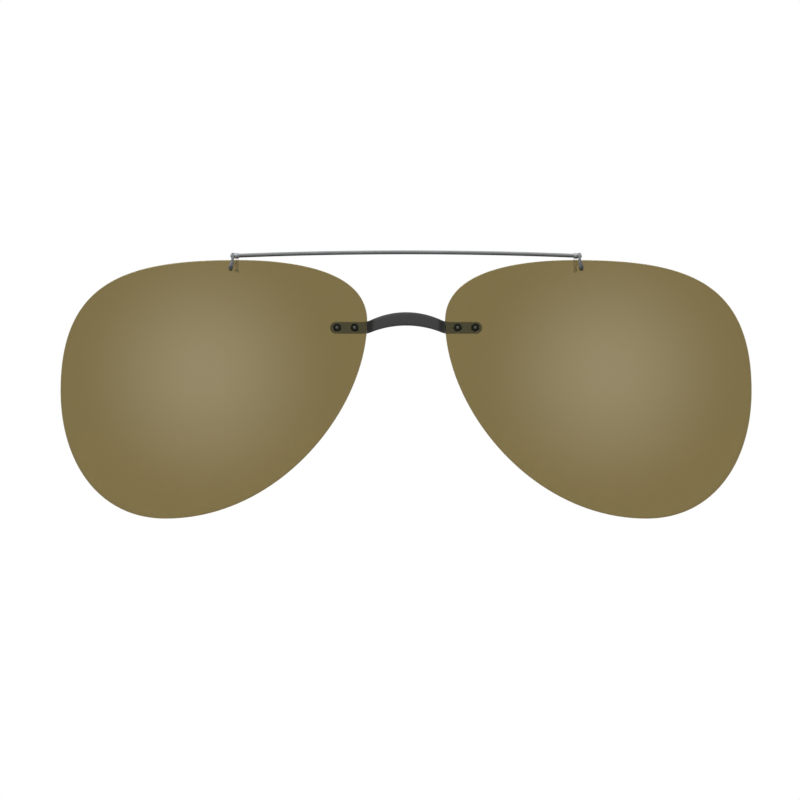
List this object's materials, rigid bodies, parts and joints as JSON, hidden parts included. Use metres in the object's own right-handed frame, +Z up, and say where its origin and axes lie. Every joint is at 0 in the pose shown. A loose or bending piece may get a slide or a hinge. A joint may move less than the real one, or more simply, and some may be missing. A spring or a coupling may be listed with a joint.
{
  "type": "clip-on flip lenses",
  "caption": "Rimless tinted lenses on a sprung wire bar that hooks over a pair of spectacles and lets them flip up.",
  "frame": {"origin": "on the flip axis, midway between the two hooks", "axes": "+X to the right as seen from the front, along the flip axis; -Y to the front; +Z up"},
  "size_m": [0.1384, 0.0087, 0.0536],
  "materials": {
    "bar_wire": "satin",
    "hook_metal": "satin",
    "pin_metal": "polished",
    "fitting_pin": "polished",
    "hanger_metal": "satin",
    "rivet": "satin",
    "clear_grip": "gloss",
    "rest_pad": "satin",
    "tinted_lens": "gloss",
    "bridge": "matte",
    "bush": "satin"
  },
  "bodies": {
    "clip_bar": {"top_bar": "bar_wire", "left_hook": "hook_metal", "right_hook": "hook_metal", "left_grip": "clear_grip", "right_grip": "clear_grip", "left_hinge_pin": "pin_metal", "right_hinge_pin": "pin_metal"},
    "lens_unit": {"bridge": "bridge", "left_lens": "tinted_lens", "right_lens": "tinted_lens", "left_hanger": "hanger_metal", "right_hanger": "hanger_metal", "left_hanger_rivet": "rivet", "right_hanger_rivet": "rivet", "left_inner_pin": "fitting_pin", "right_inner_pin": "fitting_pin", "left_outer_pin": "fitting_pin", "right_outer_pin": "fitting_pin", "left_inner_bush": "bush", "right_inner_bush": "bush", "left_outer_bush": "bush", "right_outer_bush": "bush", "left_rest_pad": "rest_pad", "right_rest_pad": "rest_pad"}
  },
  "joints": [
    {"name": "flip", "type": "hinge", "parent": "clip_bar", "child": "lens_unit", "pos_m": [0, 0, 0], "axis": [-1, 0, 0], "range_deg": [0, 95]}
  ]
}
